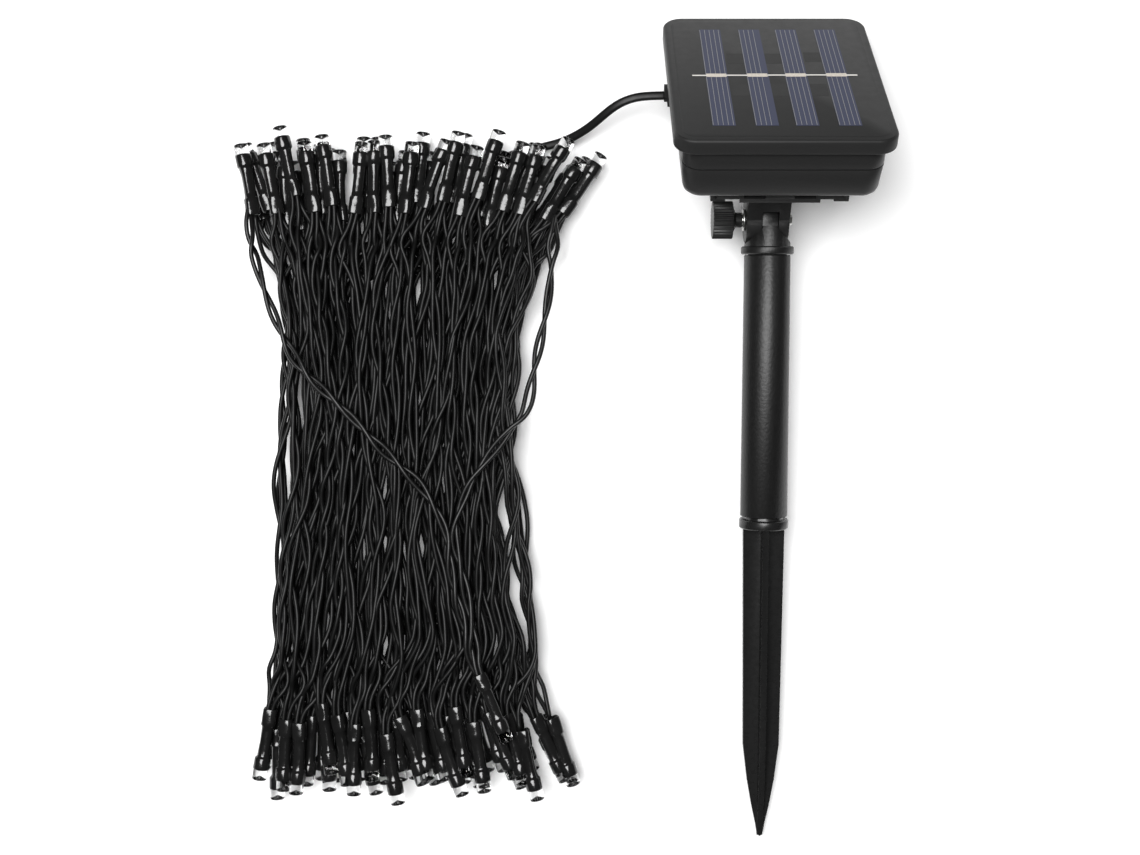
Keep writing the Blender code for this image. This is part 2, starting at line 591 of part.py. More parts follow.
def make_stake_head():
    spigot_base = 0.0300
    profile = [(0.0, -HEAD_TOP), (HEAD_RADIUS, -HEAD_TOP), (HEAD_RADIUS, -COLLAR_TOP),
               (COLLAR_RADIUS - 0.0005, -COLLAR_TOP), (COLLAR_RADIUS, -COLLAR_TOP - 0.0005),
               (COLLAR_RADIUS, 0.0005 - COLLAR_BASE), (COLLAR_RADIUS - 0.0005, -COLLAR_BASE),
               (SPIGOT_RADIUS, -COLLAR_BASE), (SPIGOT_RADIUS, 0.001 - spigot_base),
               (SPIGOT_RADIUS - 0.001, -spigot_base), (0.0, -spigot_base)]
    head = turned("stake_head", profile, STAKE_BLACK, STAKE)
    for name, start, end in (("left", -0.0120, -0.00305), ("right", 0.00305, 0.0120)):
        pocket = rod(f"cut_ear_pocket_{name}", LOBE_RADIUS + 0.00035, start, end, frame=STAKE,
                     axis="X", sides=32)
        cut(head, pocket)
    tongue = rod("join_tongue", TONGUE_RADIUS, -TONGUE_HALF, TONGUE_HALF, frame=STAKE, axis="X",
                 sides=32)
    web = block("join_tongue_web", (-TONGUE_HALF, -TONGUE_RADIUS, -0.0100),
                (TONGUE_HALF, TONGUE_RADIUS, 0.0), frame=STAKE)
    bore = rod("cut_tongue_bore", BOLT_RADIUS + GAP, -0.0060, 0.0060, frame=STAKE, axis="X",
               sides=16)
    join(head, web, tongue)
    cut(head, bore)


def make_tube():
    top = COLLAR_BASE + GAP
    profile = [(TUBE_BORE, -top), (0.0093, -top), (0.0096, -TUBE_BASE), (TUBE_BORE, -TUBE_BASE)]
    turned("extension_tube", profile, STAKE_BLACK, STAKE, 36, closed=True)


def make_spike():
    # Two crossed blades under a collar, with a spigot that plugs into the tube
    collar_top, collar_base = SPIKE_COLLAR
    spigot_top = collar_top - 0.0200
    profile = [(0.0, -spigot_top), (SPIGOT_RADIUS - 0.001, -spigot_top),
               (SPIGOT_RADIUS, -spigot_top - 0.001), (SPIGOT_RADIUS, -collar_top),
               (SPIKE_COLLAR_RADIUS - 0.0004, -collar_top),
               (SPIKE_COLLAR_RADIUS, -collar_top - 0.0004),
               (SPIKE_COLLAR_RADIUS, 0.0004 - collar_base),
               (SPIKE_COLLAR_RADIUS - 0.0004, -collar_base), (0.0, -collar_base)]
    spike = turned("ground_spike", profile, SPIKE_BLACK, STAKE)
    right_edge = [(width / 2, -down) for down, width in BLADE_WIDTHS]
    left_edge = [(-x, z) for x, z in reversed(right_edge)]
    outline = right_edge + [(0.0, -SPIKE_TIP)] + left_edge
    wide = outline_plate("join_blade_wide", outline, BLADE_THICKNESS, None, STAKE,
                         turn=(math.pi / 2, 0.0, 0.0))
    deep = outline_plate("join_blade_deep", outline, BLADE_THICKNESS, None, STAKE,
                         turn=(math.pi / 2, 0.0, math.pi / 2))
    join(spike, wide, deep)


def lamp_row(name, side, layer):
    # Fan of lamps, wider at the tips, tied across their bases by a bar of crossing wires
    count = LAMPS_IN_LAYER[layer]
    height = LAMP_LAYERS[layer]
    left, right = (-0.2060, -0.0825) if side > 0 else (-0.2030, -0.0880)
    lean_left, lean_right = (-0.24, 0.47) if side > 0 else (-0.06, 0.38)
    base_y = 0.0865 if side > 0 else -0.1132
    bm = bmesh.new()
    for i in range(count):
        share = (i + 0.5 * (layer % 2)) / (max(LAMPS_IN_LAYER) - 0.5)
        lean = lean_left + (lean_right - lean_left) * share
        stagger = 0.0040 + 0.0035 * math.sin(2.4 * i + 1.7 * layer) + 0.0010 * layer
        base_x = left + (right - left) * share
        start_y = base_y + side * stagger
        made = bmesh.ops.create_cone(bm, cap_ends=True, segments=8, radius1=LAMP_RADIUS,
                                     radius2=LENS_RADIUS, depth=LAMP_LENGTH)
        place = (Matrix.Translation((base_x, start_y, height))
                 @ Matrix.Rotation(-side * lean, 4, "Z")
                 @ Matrix.Rotation(-side * math.pi / 2, 4, "X")
                 @ Matrix.Translation((0.0, 0.0, LAMP_LENGTH / 2)))
        bmesh.ops.transform(bm, matrix=place, verts=made["verts"])
    mesh = bpy.data.meshes.new(name)
    bm.to_mesh(mesh)
    bm.free()
    row = smooth(add_object(name, mesh, LAMP_BLACK))
    bar_y = base_y + side * 0.0120
    reach = 0.0095 if side > 0 else 0.0015
    bar = block(f"join_{name}", (left - 0.001, bar_y - 0.0009, height - 0.0009),
                (right + reach, bar_y + 0.0009, height + 0.0009))
    join(row, bar)


def make_string():
    edge = smooth_route(HANK_EDGE, 3, closed=True)
    outline_plate("string_hank", edge, HANK_TOP - HANK_BASE, WIRE_BLACK, None,
                  (0.0, 0.0, (HANK_TOP + HANK_BASE) / 2))
    for layer in range(3):
        lamp_row(f"lamp_row_top_{layer + 1}", 1, layer)
        lamp_row(f"lamp_row_bottom_{layer + 1}", -1, layer)
    lamp = rod("crossing_lamp", LAMP_RADIUS, -LAMP_LENGTH / 2, LAMP_LENGTH / 2, LAMP_BLACK, sides=12)
    lamp.location = (-0.1108, -0.1115, 0.0262)
    lamp.rotation_euler = (-math.pi / 2, 0.0, math.radians(202.0))


def make_lead():
    # The folded length lies as a flat oval of turns, with the splice inside it
    fold = block("lead_hank", (-0.1900, -0.0870, 0.0), (-0.1100, 0.0840, LEAD_FOLD_TOP), WIRE_BLACK,
                 corner=0.0240, steps=6)
    eye = block("cut_lead_eye", (-0.1670, -0.0640, -0.0010), (-0.1310, 0.0610, 0.0050),
                corner=0.0170, steps=6)
    cut(fold, eye)
    curve = bpy.data.curves.new("lead_cable", "CURVE")
    curve.dimensions = "3D"
    curve.bevel_depth = LEAD_RADIUS
    curve.bevel_resolution = 2
    curve.use_fill_caps = True
    route = smooth_route(LEAD_ROUTE, 2)
    spline = curve.splines.new("POLY")
    spline.points.add(len(route) - 1)
    for point, place in zip(spline.points, route):
        point.co = (*place, 1.0)
    add_object("lead_cable", curve, WIRE_BLACK)
    splice = rod("lead_splice", 0.0017, -0.0090, 0.0090, RUBBER, sides=12)
    splice.location = (-0.1330, 0.0110, 0.0018)
    splice.rotation_euler = (math.pi / 2, 0.0, 0.0)


make_lid()
make_solar_module()
make_upper_case()
make_lower_case()
make_case_screws()
make_electronics()
make_buttons()
make_gland()
make_bracket()
make_knob()
make_stake_head()
make_tube()
make_spike()
make_string()
make_lead()
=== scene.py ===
import json
import math

import bmesh
import bpy
import numpy as np
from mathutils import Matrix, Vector

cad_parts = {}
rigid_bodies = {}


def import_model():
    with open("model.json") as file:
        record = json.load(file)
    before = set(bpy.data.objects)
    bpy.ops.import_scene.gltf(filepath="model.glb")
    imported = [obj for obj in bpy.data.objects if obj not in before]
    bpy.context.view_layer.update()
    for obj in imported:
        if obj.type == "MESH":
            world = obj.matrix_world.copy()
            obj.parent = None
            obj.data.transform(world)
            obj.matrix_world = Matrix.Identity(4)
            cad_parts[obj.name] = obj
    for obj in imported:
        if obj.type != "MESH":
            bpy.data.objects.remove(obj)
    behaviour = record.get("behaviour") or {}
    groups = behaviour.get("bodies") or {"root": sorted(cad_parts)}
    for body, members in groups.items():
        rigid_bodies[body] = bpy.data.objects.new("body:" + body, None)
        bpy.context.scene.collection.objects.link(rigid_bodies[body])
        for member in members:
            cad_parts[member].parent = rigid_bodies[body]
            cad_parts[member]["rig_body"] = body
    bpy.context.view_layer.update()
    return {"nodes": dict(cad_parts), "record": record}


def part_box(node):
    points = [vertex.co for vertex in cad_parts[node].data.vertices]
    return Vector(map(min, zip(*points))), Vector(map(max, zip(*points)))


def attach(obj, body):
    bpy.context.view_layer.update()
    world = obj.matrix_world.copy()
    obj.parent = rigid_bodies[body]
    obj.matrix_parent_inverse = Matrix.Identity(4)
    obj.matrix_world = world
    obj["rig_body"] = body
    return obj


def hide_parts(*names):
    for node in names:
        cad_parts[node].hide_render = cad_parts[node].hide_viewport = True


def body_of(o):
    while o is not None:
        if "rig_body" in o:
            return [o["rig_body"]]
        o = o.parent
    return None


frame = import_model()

print("frame loaded:", len(frame["nodes"]), "nodes")

joints = {joint["name"]: joint for joint in frame["record"]["behaviour"]["joints"]}
pivot = np.array(joints["head_tilt"]["pos_m"])
panelUp = np.array(joints["power_button_press"]["axis"])
panelFar = -np.array(joints["bracket_slide"]["axis"])
acrossAll = np.array((1.0, 0.0, 0.0))
mm = 0.001


def onPanel(points):
    # x stays, the second number runs up the panel's slope and the third straight out of its face
    points = np.asarray(points, float)
    return pivot + points[..., :1] * acrossAll + points[..., 1:2] * panelFar + points[..., 2:3] * panelUp


def panelBox(node):
    # Lowest and highest corner of a node, measured along the panel's own three directions
    mesh = frame["nodes"][node].data
    places = np.zeros(len(mesh.vertices) * 3)
    mesh.vertices.foreach_get("co", places)
    places = places.reshape(-1, 3) - pivot
    turned = np.stack((places[:, 0], places @ panelFar, places @ panelUp), axis=1)
    return turned.min(0), turned.max(0)


studio = {
    "eye": (-0.0794, 0.0015, 0.633),
    "lens": 47.37,
    "floorAt": -0.0007,
    "floorHalf": 3.0,
    "zenith": 0.09,
    "horizon": 0.42,
    "climb": 0.7,
    "overhead": {"at": (-0.32, 0.10, 1.45), "aim": (-0.1, 0.0, 0.0), "size": 0.85, "power": 34.0},
}


def makeStudio():
    scene = bpy.context.scene
    scene.view_settings.view_transform = "Standard"
    lens = bpy.data.cameras.new("copyStand")
    lens.lens = studio["lens"]
    lens.sensor_width = 36.0
    lens.clip_start = 0.02
    camera = bpy.data.objects.new("copyStand", lens)
    camera.location = studio["eye"]
    scene.collection.objects.link(camera)
    scene.camera = camera

    half, level = studio["floorHalf"], studio["floorAt"]
    mesh = bpy.data.meshes.new("paleFloor")
    corners = ((-half, -half, level), (half, -half, level), (half, half, level), (-half, half, level))
    mesh.from_pydata(corners, [], [(0, 1, 2, 3)])
    floor = bpy.data.objects.new("paleFloor", mesh)
    scene.collection.objects.link(floor)

    facts = studio["overhead"]
    light = bpy.data.lights.new("overhead", "AREA")
    light.shape = "SQUARE"
    light.size = facts["size"]
    light.energy = facts["power"]
    softbox = bpy.data.objects.new("overhead", light)
    softbox.location = facts["at"]
    aim = Vector(facts["aim"]) - Vector(facts["at"])
    softbox.rotation_euler = aim.to_track_quat("-Z", "Y").to_euler()
    scene.collection.objects.link(softbox)

    world = bpy.data.worlds.new("softRoom")
    scene.world = world
    world.use_nodes = True
    tree = world.node_tree
    sky = tree.nodes["Background"]
    way = tree.nodes.new("ShaderNodeSeparateXYZ")
    tree.links.new(tree.nodes.new("ShaderNodeTexCoord").outputs["Generated"], way.inputs[0])
    climb = tree.nodes.new("ShaderNodeMapRange")
    climb.inputs["From Max"].default_value = studio["climb"]
    climb.inputs["To Min"].default_value = studio["horizon"]
    climb.inputs["To Max"].default_value = studio["zenith"]
    tree.links.new(way.outputs["Z"], climb.inputs["Value"])
    tree.links.new(climb.outputs["Result"], sky.inputs["Strength"])
    return floor


floor = makeStudio()
print("studio set")


class Level:
    # One grey value in a node tree; plain arithmetic on it adds the Math nodes
    def __init__(self, tree, socket):
        self.tree = tree
        self.socket = socket

    def work(self, operation, first, second):
        step = self.tree.nodes.new("ShaderNodeMath")
        step.operation = operation
        for place, value in enumerate((first, second)):
            if isinstance(value, Level):
                self.tree.links.new(value.socket, step.inputs[place])
            else:
                step.inputs[place].default_value = value
        return Level(self.tree, step.outputs[0])

    def __add__(self, other):
        return self.work("ADD", self, other)

    def __radd__(self, other):
        return self.work("ADD", other, self)

    def __mul__(self, other):
        return self.work("MULTIPLY", self, other)


class Finish:
    # A material whose nodes are made one call at a time
    def __init__(self, name, **surface):
        self.material = bpy.data.materials.new(name)
        self.material.use_nodes = True
        self.tree = self.material.node_tree
        self.shader = self.tree.nodes["Principled BSDF"]
        self.place = self.tree.nodes.new("ShaderNodeTexCoord").outputs["Object"]
        for socket, value in surface.items():
            self.set(socket, value)

    def set(self, socket, value):
        target = self.shader.inputs[socket.replace("_", " ")]
        if isinstance(value, Level):
            self.tree.links.new(value.socket, target)
        elif isinstance(value, bpy.types.NodeSocket):
            self.tree.links.new(value, target)
        else:
            target.default_value = value

    def node(self, kind, **sockets):
        made = self.tree.nodes.new("ShaderNode" + kind)
        for name, value in sockets.items():
            if isinstance(value, Level):
                value = value.socket
            if isinstance(value, bpy.types.NodeSocket):
                self.tree.links.new(value, made.inputs[name])
            else:
                made.inputs[name].default_value = value
        return made.outputs[0]

    def noise(self, scale, detail=2.0, stretch=None):
        place = self.place
        if stretch:
            place = self.node("Mapping", Vector=place, Scale=stretch)
        return Level(self.tree, self.node("TexNoise", Vector=place, Scale=scale, Detail=detail))

    def blendColour(self, share, first, second):
        mix = self.tree.nodes.new("ShaderNodeMix")
        mix.data_type = "RGBA"
        self.tree.links.new(share.socket, mix.inputs[0])
        mix.inputs[6].default_value = (*first, 1.0)
        mix.inputs[7].default_value = (*second, 1.0)
        return mix.outputs[2]

    def relief(self, height, distance):
        self.set("Normal", self.node("Bump", Height=height, Distance=distance, Strength=1.0))
        return self


def grey(level):
    return (level, level, level)


def mouldedPlastic(name, dark, light, rough, grain, depth, specular=0.36):
    # Dyed plastic: two close shades in soft blotches, a fine spark-eroded grain and slightly uneven gloss
    made = Finish(name)
    blotch = made.noise(60.0, 3.0)
    fine = made.noise(grain, 2.0)
    made.set("Base Color", made.blendColour(blotch * 0.5 + fine * 0.5, grey(dark), grey(light)))
    made.set("Roughness", rough - 0.06 + fine * 0.12)
    made.set("Specular IOR Level", specular)
    return made.relief(fine, depth)


def wireFinish(name, specular):
    # Soft black insulation: satin, with shallow drawn unevenness
    made = Finish(name)
    drawn = made.noise(420.0, 2.0)
    wide = made.noise(45.0, 2.0)
    made.set("Base Color", made.blendColour(wide, grey(0.0030), grey(0.0070)))
    made.set("Roughness", 0.34 + drawn * 0.12)
    made.set("Specular IOR Level", specular)
    return made.relief(drawn, 0.00006)


def sleeveFinish():
    # Shrunk sleeve: near black and glossy, pulled into shallow waves over what is inside
    made = Finish("shrunkSleeve")
    waves = made.noise(330.0, 2.0)
    wide = made.noise(90.0, 1.0)
    made.set("Base Color", made.blendColour(wide, grey(0.0055), grey(0.0125)))
    made.set("Roughness", 0.09 + waves * 0.12)
    made.set("Specular IOR Level", 0.50)
    return made.relief(waves, 0.00010)


def clearFinish():
    # Water-clear resin with the faintest unevenness
    made = Finish("clearResin", Transmission_Weight=1.0, IOR=1.46)
    soft = made.noise(300.0, 1.0)
    made.set("Base Color", (0.90, 0.90, 0.90, 1.0))
    made.set("Roughness", 0.03 + soft * 0.05)
    return made


def metalFinish(name, colour, rough, scale=900.0):
    made = Finish(name, Metallic=1.0)
    drawn = made.noise(scale, 2.0, (1.0, 0.12, 1.0))
    made.set("Base Color", made.blendColour(drawn, tuple(0.8 * c for c in colour), colour))
    made.set("Roughness", rough - 0.08 + drawn * 0.16)
    return made


def cellFinish():
    # Dark blue silicon: a very slight cloudiness under a clear skin
    made = Finish("cellSilicon")
    cloud = made.noise(140.0, 2.0)
    made.set("Base Color", made.blendColour(cloud, (0.014, 0.019, 0.052), (0.018, 0.024, 0.064)))
    made.set("Roughness", 0.40 + cloud * 0.06)
    made.set("Specular IOR Level", 0.25)
    return made


def tabFinish():
    # Pale beige flux-coated tab with darker flecks
    made = Finish("solderTab")
    fleck = made.noise(1500.0, 3.0)
    made.set("Base Color", made.blendColour(fleck, (0.36, 0.32, 0.27), (0.72, 0.66, 0.58)))
    made.set("Roughness", 0.42)
    return made.relief(fleck, 0.00005)


def floorFinish():
    # Matt white paper
    made = Finish("whitePaper")
    fibre = made.noise(40.0, 3.0)
    made.set("Base Color", made.blendColour(fibre, grey(0.93), grey(0.95)))
    made.set("Roughness", 0.9)
    made.set("Specular IOR Level", 0.0)
    made.set("Emission Color", (1.0, 1.0, 1.0, 1.0))
    made.set("Emission Strength", 0.10)
    return made


finishes = {
    "lid": mouldedPlastic("lidPlastic", 0.0130, 0.0160, 0.50, 1800.0, 0.00001, 0.26),
    "case": mouldedPlastic("casePlastic", 0.0110, 0.0140, 0.44, 1500.0, 0.00004),
    "stake": mouldedPlastic("tubePlastic", 0.0050, 0.0090, 0.42, 900.0, 0.00008),
    "spike": mouldedPlastic("spikePlastic", 0.0095, 0.0130, 0.28, 500.0, 0.00004),
    "rubber": mouldedPlastic("softRubber", 0.0060, 0.0100, 0.60, 800.0, 0.00004, 0.35),
    "board": mouldedPlastic("boardMask", 0.020, 0.030, 0.40, 700.0, 0.00002),
    "battery": mouldedPlastic("batteryWrap", 0.25, 0.32, 0.35, 300.0, 0.00002),
    "backing": mouldedPlastic("faceSheet", 0.0132, 0.0150, 0.42, 300.0, 0.000001, 0.135),
    "pad": mouldedPlastic("darkPad", 0.0096, 0.0110, 0.42, 300.0, 0.000001, 0.135),
    "chip": mouldedPlastic("chipEpoxy", 0.010, 0.016, 0.50, 700.0, 0.00002),
    "wire": wireFinish("wireInsulation", 0.21),
    # Painted highlight: the same insulation as the hank's wire, given a stronger specular so the strand
    # lying on top shows brighter highlights
    "wirePaintedHighlight": wireFinish("wireInsulationPaintedHighlight", 0.36),
    "sleeve": sleeveFinish(),
    "clear": clearFinish(),
    "cell": cellFinish(),
    "zinc": metalFinish("zincPlate", (0.62, 0.62, 0.60), 0.36),
    "tinned": metalFinish("tinnedRibbon", (0.78, 0.76, 0.72), 0.34),
    "finger": mouldedPlastic("printedFinger", 0.170, 0.220, 0.40, 900.0, 0.000001),
    "solder": tabFinish(),
    "emitter": mouldedPlastic("emitterSeat", 0.45, 0.60, 0.35, 900.0, 0.00002),
}
floor.data.materials.append(floorFinish().material)
print("finishes made:", len(finishes))


def addPiece(name, points, faces, finish, body, slot=None, replaced=(), smooth=True):
    mesh = bpy.data.meshes.new(name)
    mesh.from_pydata(np.asarray(points).reshape(-1, 3).tolist(), [], faces)
    mesh.polygons.foreach_set("use_smooth", np.full(len(mesh.polygons), smooth))
    mesh.validate()
    mesh.materials.append(finishes[finish].material)
    piece = bpy.data.objects.new(name, mesh)
    bpy.context.scene.collection.objects.link(piece)
    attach(piece, body)
    if replaced:
        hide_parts(*replaced)
    return piece


def skinned(rings):
    # Faces over (runs, samples, sides) points: quads between neighbouring rings, one flat face on each end
    runs, samples, sides = rings.shape[:3]
    index = np.arange(runs * samples * sides).reshape(runs, samples, sides)
    here = index[:, :-1]
    ahead = index[:, 1:]
    quads = np.stack((here, np.roll(here, -1, axis=2), np.roll(ahead, -1, axis=2), ahead), axis=-1)
    ends = np.concatenate((index[:, 0, ::-1], index[:, -1]))
    return quads.reshape(-1, 4).tolist() + ends.tolist()


def frameAlong(path):
    # Tangent by central differences; side is level and square to it; up completes the three
    tangent = np.gradient(path, axis=-2)
    tangent /= np.linalg.norm(tangent, axis=-1, keepdims=True)
    side = np.cross((0.0, 0.0, 1.0), tangent)
    side /= np.linalg.norm(side, axis=-1, keepdims=True)
    return tangent, side, np.cross(tangent, side)


def evenly(path, step):
    # The same line with points an even step apart, read off its running length
    path = np.asarray(path, float)
    run = np.concatenate(([0.0], np.cumsum(np.linalg.norm(np.diff(path, axis=0), axis=1))))
    marks = np.linspace(0.0, run[-1], max(4, int(round(run[-1] / step)) + 1))
    return np.stack([np.interp(marks, run, path[:, k]) for k in range(3)], axis=1)


def flowing(corners, perSpan=12):
    # Catmull-Rom line: each span is a cubic whose end slopes are half the step between its neighbours
    corners = np.asarray(corners, float)
    padded = np.concatenate((2 * corners[:1] - corners[1:2], corners, 2 * corners[-1:] - corners[-2:-1]))
    before, start, end, after = padded[:-3], padded[1:-2], padded[2:-1], padded[3:]
    t = (np.arange(perSpan) / perSpan)[None, :, None]
    before, start, end, after = (block[:, None, :] for block in (before, start, end, after))
    line = 0.5 * (2 * start + (end - before) * t + (2 * before - 5 * start + 4 * end - after) * t ** 2
                  + (3 * start - before - 3 * end + after) * t ** 3)
    return np.concatenate((line.reshape(-1, 3), corners[-1:]))


def easing(value, low, high):
    # 0 below low, 1 above high and an even S between
    share = np.clip((value - low) / (high - low), 0.0, 1.0)
    return share * share * (3.0 - 2.0 * share)


def pathLength(path):
    return float(np.linalg.norm(np.diff(path, axis=0), axis=1).sum())


string = {
    "pair": 0.0038,  # both wires together
    "wire": 0.00095,  # radius of one wire
    "turnPoints": 9,
    "turnDepth": 0.0030,  # how far inside a sleeve the wire turns back
    "twist": 0.0540,  # one full turn of the pair
    "sides": 8,
    "samples": 116,
    "layers": ((0.0069, 17), (0.0131, 17), (0.0193, 16)),  # height and lamps at each end
    "topEdge": (-0.2060, -0.0825),
    "bottomEdge": (-0.2030, -0.0880),
    "topLean": (-0.24, 0.47),
    "bottomLean": (-0.06, 0.38),
    "bases": (0.0865, -0.1132),
    "wander": 0.0036,  # sideways braid of the runs
    "swap": 0.0018,  # how far a run rises or sinks from its layer
    "shiver": 0.0009,
    "roll": 0.0007,
    "leave": (0.002, 0.034),  # where a run leaves its lamp's own line
    "settle": (0.002, 0.030),
    "bulge": (-0.0008, 0.0024),  # sideways belly just past a lamp
    "bulgeAt": 0.014,
    "bulgeWide": 0.007,
    "stagger": (0.0040, 0.0035, 0.0010),  # how unevenly the lamps stand out
    "droops": (0.0036, 0.0022, 0.0016),  # fall of a lamp's tip in each layer
    "leanSpread": 0.085,
    "seatSpread": 0.0009,
    "seatPull": (-0.001, 0.0055),
    "bow": (0.0004, 0.0021),  # gap between the two wires before a sleeve
    "bowReach": (0.010, 0.018),
    "bowWide": 0.006,
    "slack": 0.00034,
    "aboveFloor": 0.00005,
}
leftEdge = np.array(((-0.2050, -0.1090), (-0.2025, -0.0700), (-0.1985, -0.0300), (-0.1975, 0.0050),
                     (-0.1985, 0.0400), (-0.2055, 0.0700), (-0.2090, 0.0830)))
rightEdge = np.array(((-0.0860, -0.1090), (-0.0970, -0.0700), (-0.1005, -0.0300), (-0.1010, 0.0050),
                      (-0.0985, 0.0400), (-0.0905, 0.0700), (-0.0860, 0.0830)))
dice = np.random.default_rng(41)


def lampSeats(layer, side):
    # Where each lamp of one end of one layer starts and which way it points
    height, count = string["layers"][layer]
    left, right = string["topEdge"] if side > 0 else string["bottomEdge"]
    leanLeft, leanRight = string["topLean"] if side > 0 else string["bottomLean"]
    order = np.arange(count)
    share = (order + 0.5 * (layer % 2)) / 16.5
    lean = leanLeft + (leanRight - leanLeft) * share
    base = string["bases"][0] if side > 0 else string["bases"][1]
    least, swing, rise = string["stagger"]
    base = base + side * (least + swing * np.sin(2.4 * order + 1.7 * layer) + rise * layer)
    seats = np.stack((left + (right - left) * share, base, np.full(count, height)), axis=1)
    lean = lean + dice.normal(0.0, string["leanSpread"], count)
    seats[:, 0] += dice.normal(0.0, string["seatSpread"], count)
    seats[:, 1] -= side * dice.uniform(*string["seatPull"], count)
    drop = string["droops"][layer] / lampShape["length"]
    ways = np.stack((np.sin(lean), side * np.cos(lean), np.full(count, -drop)), axis=1)
    return seats, ways / np.linalg.norm(ways, axis=1, keepdims=True)


def halfCircle(last, here, way):
    # From one wire entry to the other, round a middle that lies a little way inside the sleeve
    angle = np.linspace(math.pi, 0.0, string["turnPoints"])[:, None]
    centre = (here + last) / 2 + way * string["turnDepth"]
    return centre + (here - last) / 2 * np.cos(angle) + way * string["wire"] * np.sin(angle)


def laneLines(layer, top, bottom):
    # Runs between a top and a bottom lamp, gathered at the waist, with a slow braid and a small shake
    seats, ways = top
    count = len(seats) + len(bottom[0]) - 1
    lane = np.arange(count)
    upper = (lane + 1) // 2
    lower = lane // 2
    enter = string["wire"] * np.where(lane % 2 == 0, 1.0, -1.0)
    squareTop = np.stack((-ways[:, 1], ways[:, 0]), axis=1)
    squareTop *= -np.sign(ways[:, 1:2])
    squareLow = np.stack((-bottom[1][:, 1], bottom[1][:, 0]), axis=1)
    squareLow *= -np.sign(bottom[1][:, 1:2])
    start = seats[upper].copy()
    start[:, :2] += squareTop[upper] * enter[:, None]
    finish = bottom[0][lower].copy()
    finish[:, :2] -= squareLow[lower] * enter[:, None]
    inTop, inLow = ways[upper], bottom[1][lower]

    t = np.linspace(0.0, 1.0, string["samples"])[None, :]
    y = start[:, 1:2] + (finish[:, 1:2] - start[:, 1:2]) * t
    share = ((lane + 0.5) / count)[:, None]
    left = np.interp(y, leftEdge[:, 1], leftEdge[:, 0])
    right = np.interp(y, rightEdge[:, 1], rightEdge[:, 0])
    middle = left + (right - left) * (0.02 + 0.96 * share)
    phase = dice.uniform(0.0, 2 * math.pi, (4, count))
    turns = dice.uniform(0.75, 1.6, (2, count))
    inside = np.sin(math.pi * t) ** 0.7
    hand = np.where(lane % 2 == 0, 1.0, -1.0)[:, None]
    braid = hand * np.sin(2 * math.pi * 1.5 * t + 0.9 * (lane // 2)[:, None])
    shake = np.sin(2 * math.pi * turns[0][:, None] * t + phase[0][:, None])
    fine = np.sin(2 * math.pi * 3.1 * turns[1][:, None] * t + phase[1][:, None])
    middle = middle + inside * (string["wander"] * (0.70 * braid + 0.85 * shake) + string["shiver"] * fine)

    fromTop = np.abs(y - start[:, 1:2])
    fromLow = np.abs(y - finish[:, 1:2])
    topLine = start[:, :1] + (y - start[:, 1:2]) * (inTop[:, :1] / inTop[:, 1:2])
    lowLine = finish[:, :1] + (y - finish[:, 1:2]) * (inLow[:, :1] / inLow[:, 1:2])
    x = middle
    x = topLine + (x - topLine) * easing(fromTop, *string["leave"])
    x = lowLine + (x - lowLine) * easing(fromLow, *string["leave"])
    belly = dice.uniform(*string["bulge"], (2, count))[:, :, None] * np.sign(enter)[None, :, None]
    x = x + belly[0] * np.exp(-((fromTop - string["bulgeAt"]) / string["bulgeWide"]) ** 2)
    x = x - belly[1] * np.exp(-((fromLow - string["bulgeAt"]) / string["bulgeWide"]) ** 2)
    settled = easing(fromTop, *string["settle"]) * easing(fromLow, *string["settle"])
    level = string["layers"][layer][0]
    shift = -hand * string["swap"]
    roll = string["roll"] * np.sin(2 * math.pi * 1.3 * t + phase[2][:, None])
    z = level + settled * (shift + roll)
    return np.stack((x, y, z), axis=-1)


def chainPath(layer, top, bottom):
    # Lanes joined into one line by half circles inside the lamps' sleeves
    parts = []
    for number, lane in enumerate(laneLines(layer, top, bottom)):
        goingDown = number % 2 == 0
        line = lane if goingDown else lane[::-1]
        if parts:
            last, here = parts[-1][-1], line[0]
            ways = top[1] if goingDown else bottom[1]
            parts.append(halfCircle(last, here, ways[(number + 1) // 2 if goingDown else number // 2]))
        parts.append(line)
    return parts


def pairAngles(parts):
    # The pair stands upright at both ends of every lane and makes a whole number of half turns between them
    angles = []
    at = math.pi / 2
    for part in parts:
        if len(part) == string["turnPoints"]:
            angles.append(np.full(len(part), at))
            continue
        length = pathLength(part)
        halves = max(2, int(round(length / (string["twist"] / 2) + dice.normal(0.0, 1.5))))
        t = np.linspace(0.0, 1.0, len(part))
        loose = 0.35 * np.sin(2 * math.pi * t * 2 + dice.uniform(0.0, 6.28)) * np.sin(math.pi * t)
        angles.append(at + math.pi * halves * t + loose)
        at = at + math.pi * halves
    return np.concatenate(angles)


def pairSpread(parts):
    # Half the distance between the two wires: touching along a lane, bowing apart before each sleeve
    spreads = []
    for part in parts:
        if len(part) == string["turnPoints"]:
            spreads.append(np.full(len(part), string["wire"]))
            continue
        t = np.linspace(0.0, 1.0, len(part))
        run = t * pathLength(part)
        back = run[-1] - run
        bows = dice.uniform(*string["bow"], 2)
        reach = dice.uniform(*string["bowReach"], 2)
        bow = bows[0] * np.exp(-((run - reach[0]) / string["bowWide"]) ** 2)
        bow += bows[1] * np.exp(-((back - reach[1]) / string["bowWide"]) ** 2)
        beats, offset = dice.uniform(2.0, 4.0), dice.uniform(0.0, 6.28)
        slack = string["slack"] * (1 + np.sin(2 * math.pi * t * beats + offset))
        spreads.append(string["wire"] + bow + slack * np.sin(math.pi * t))
    return np.concatenate(spreads)


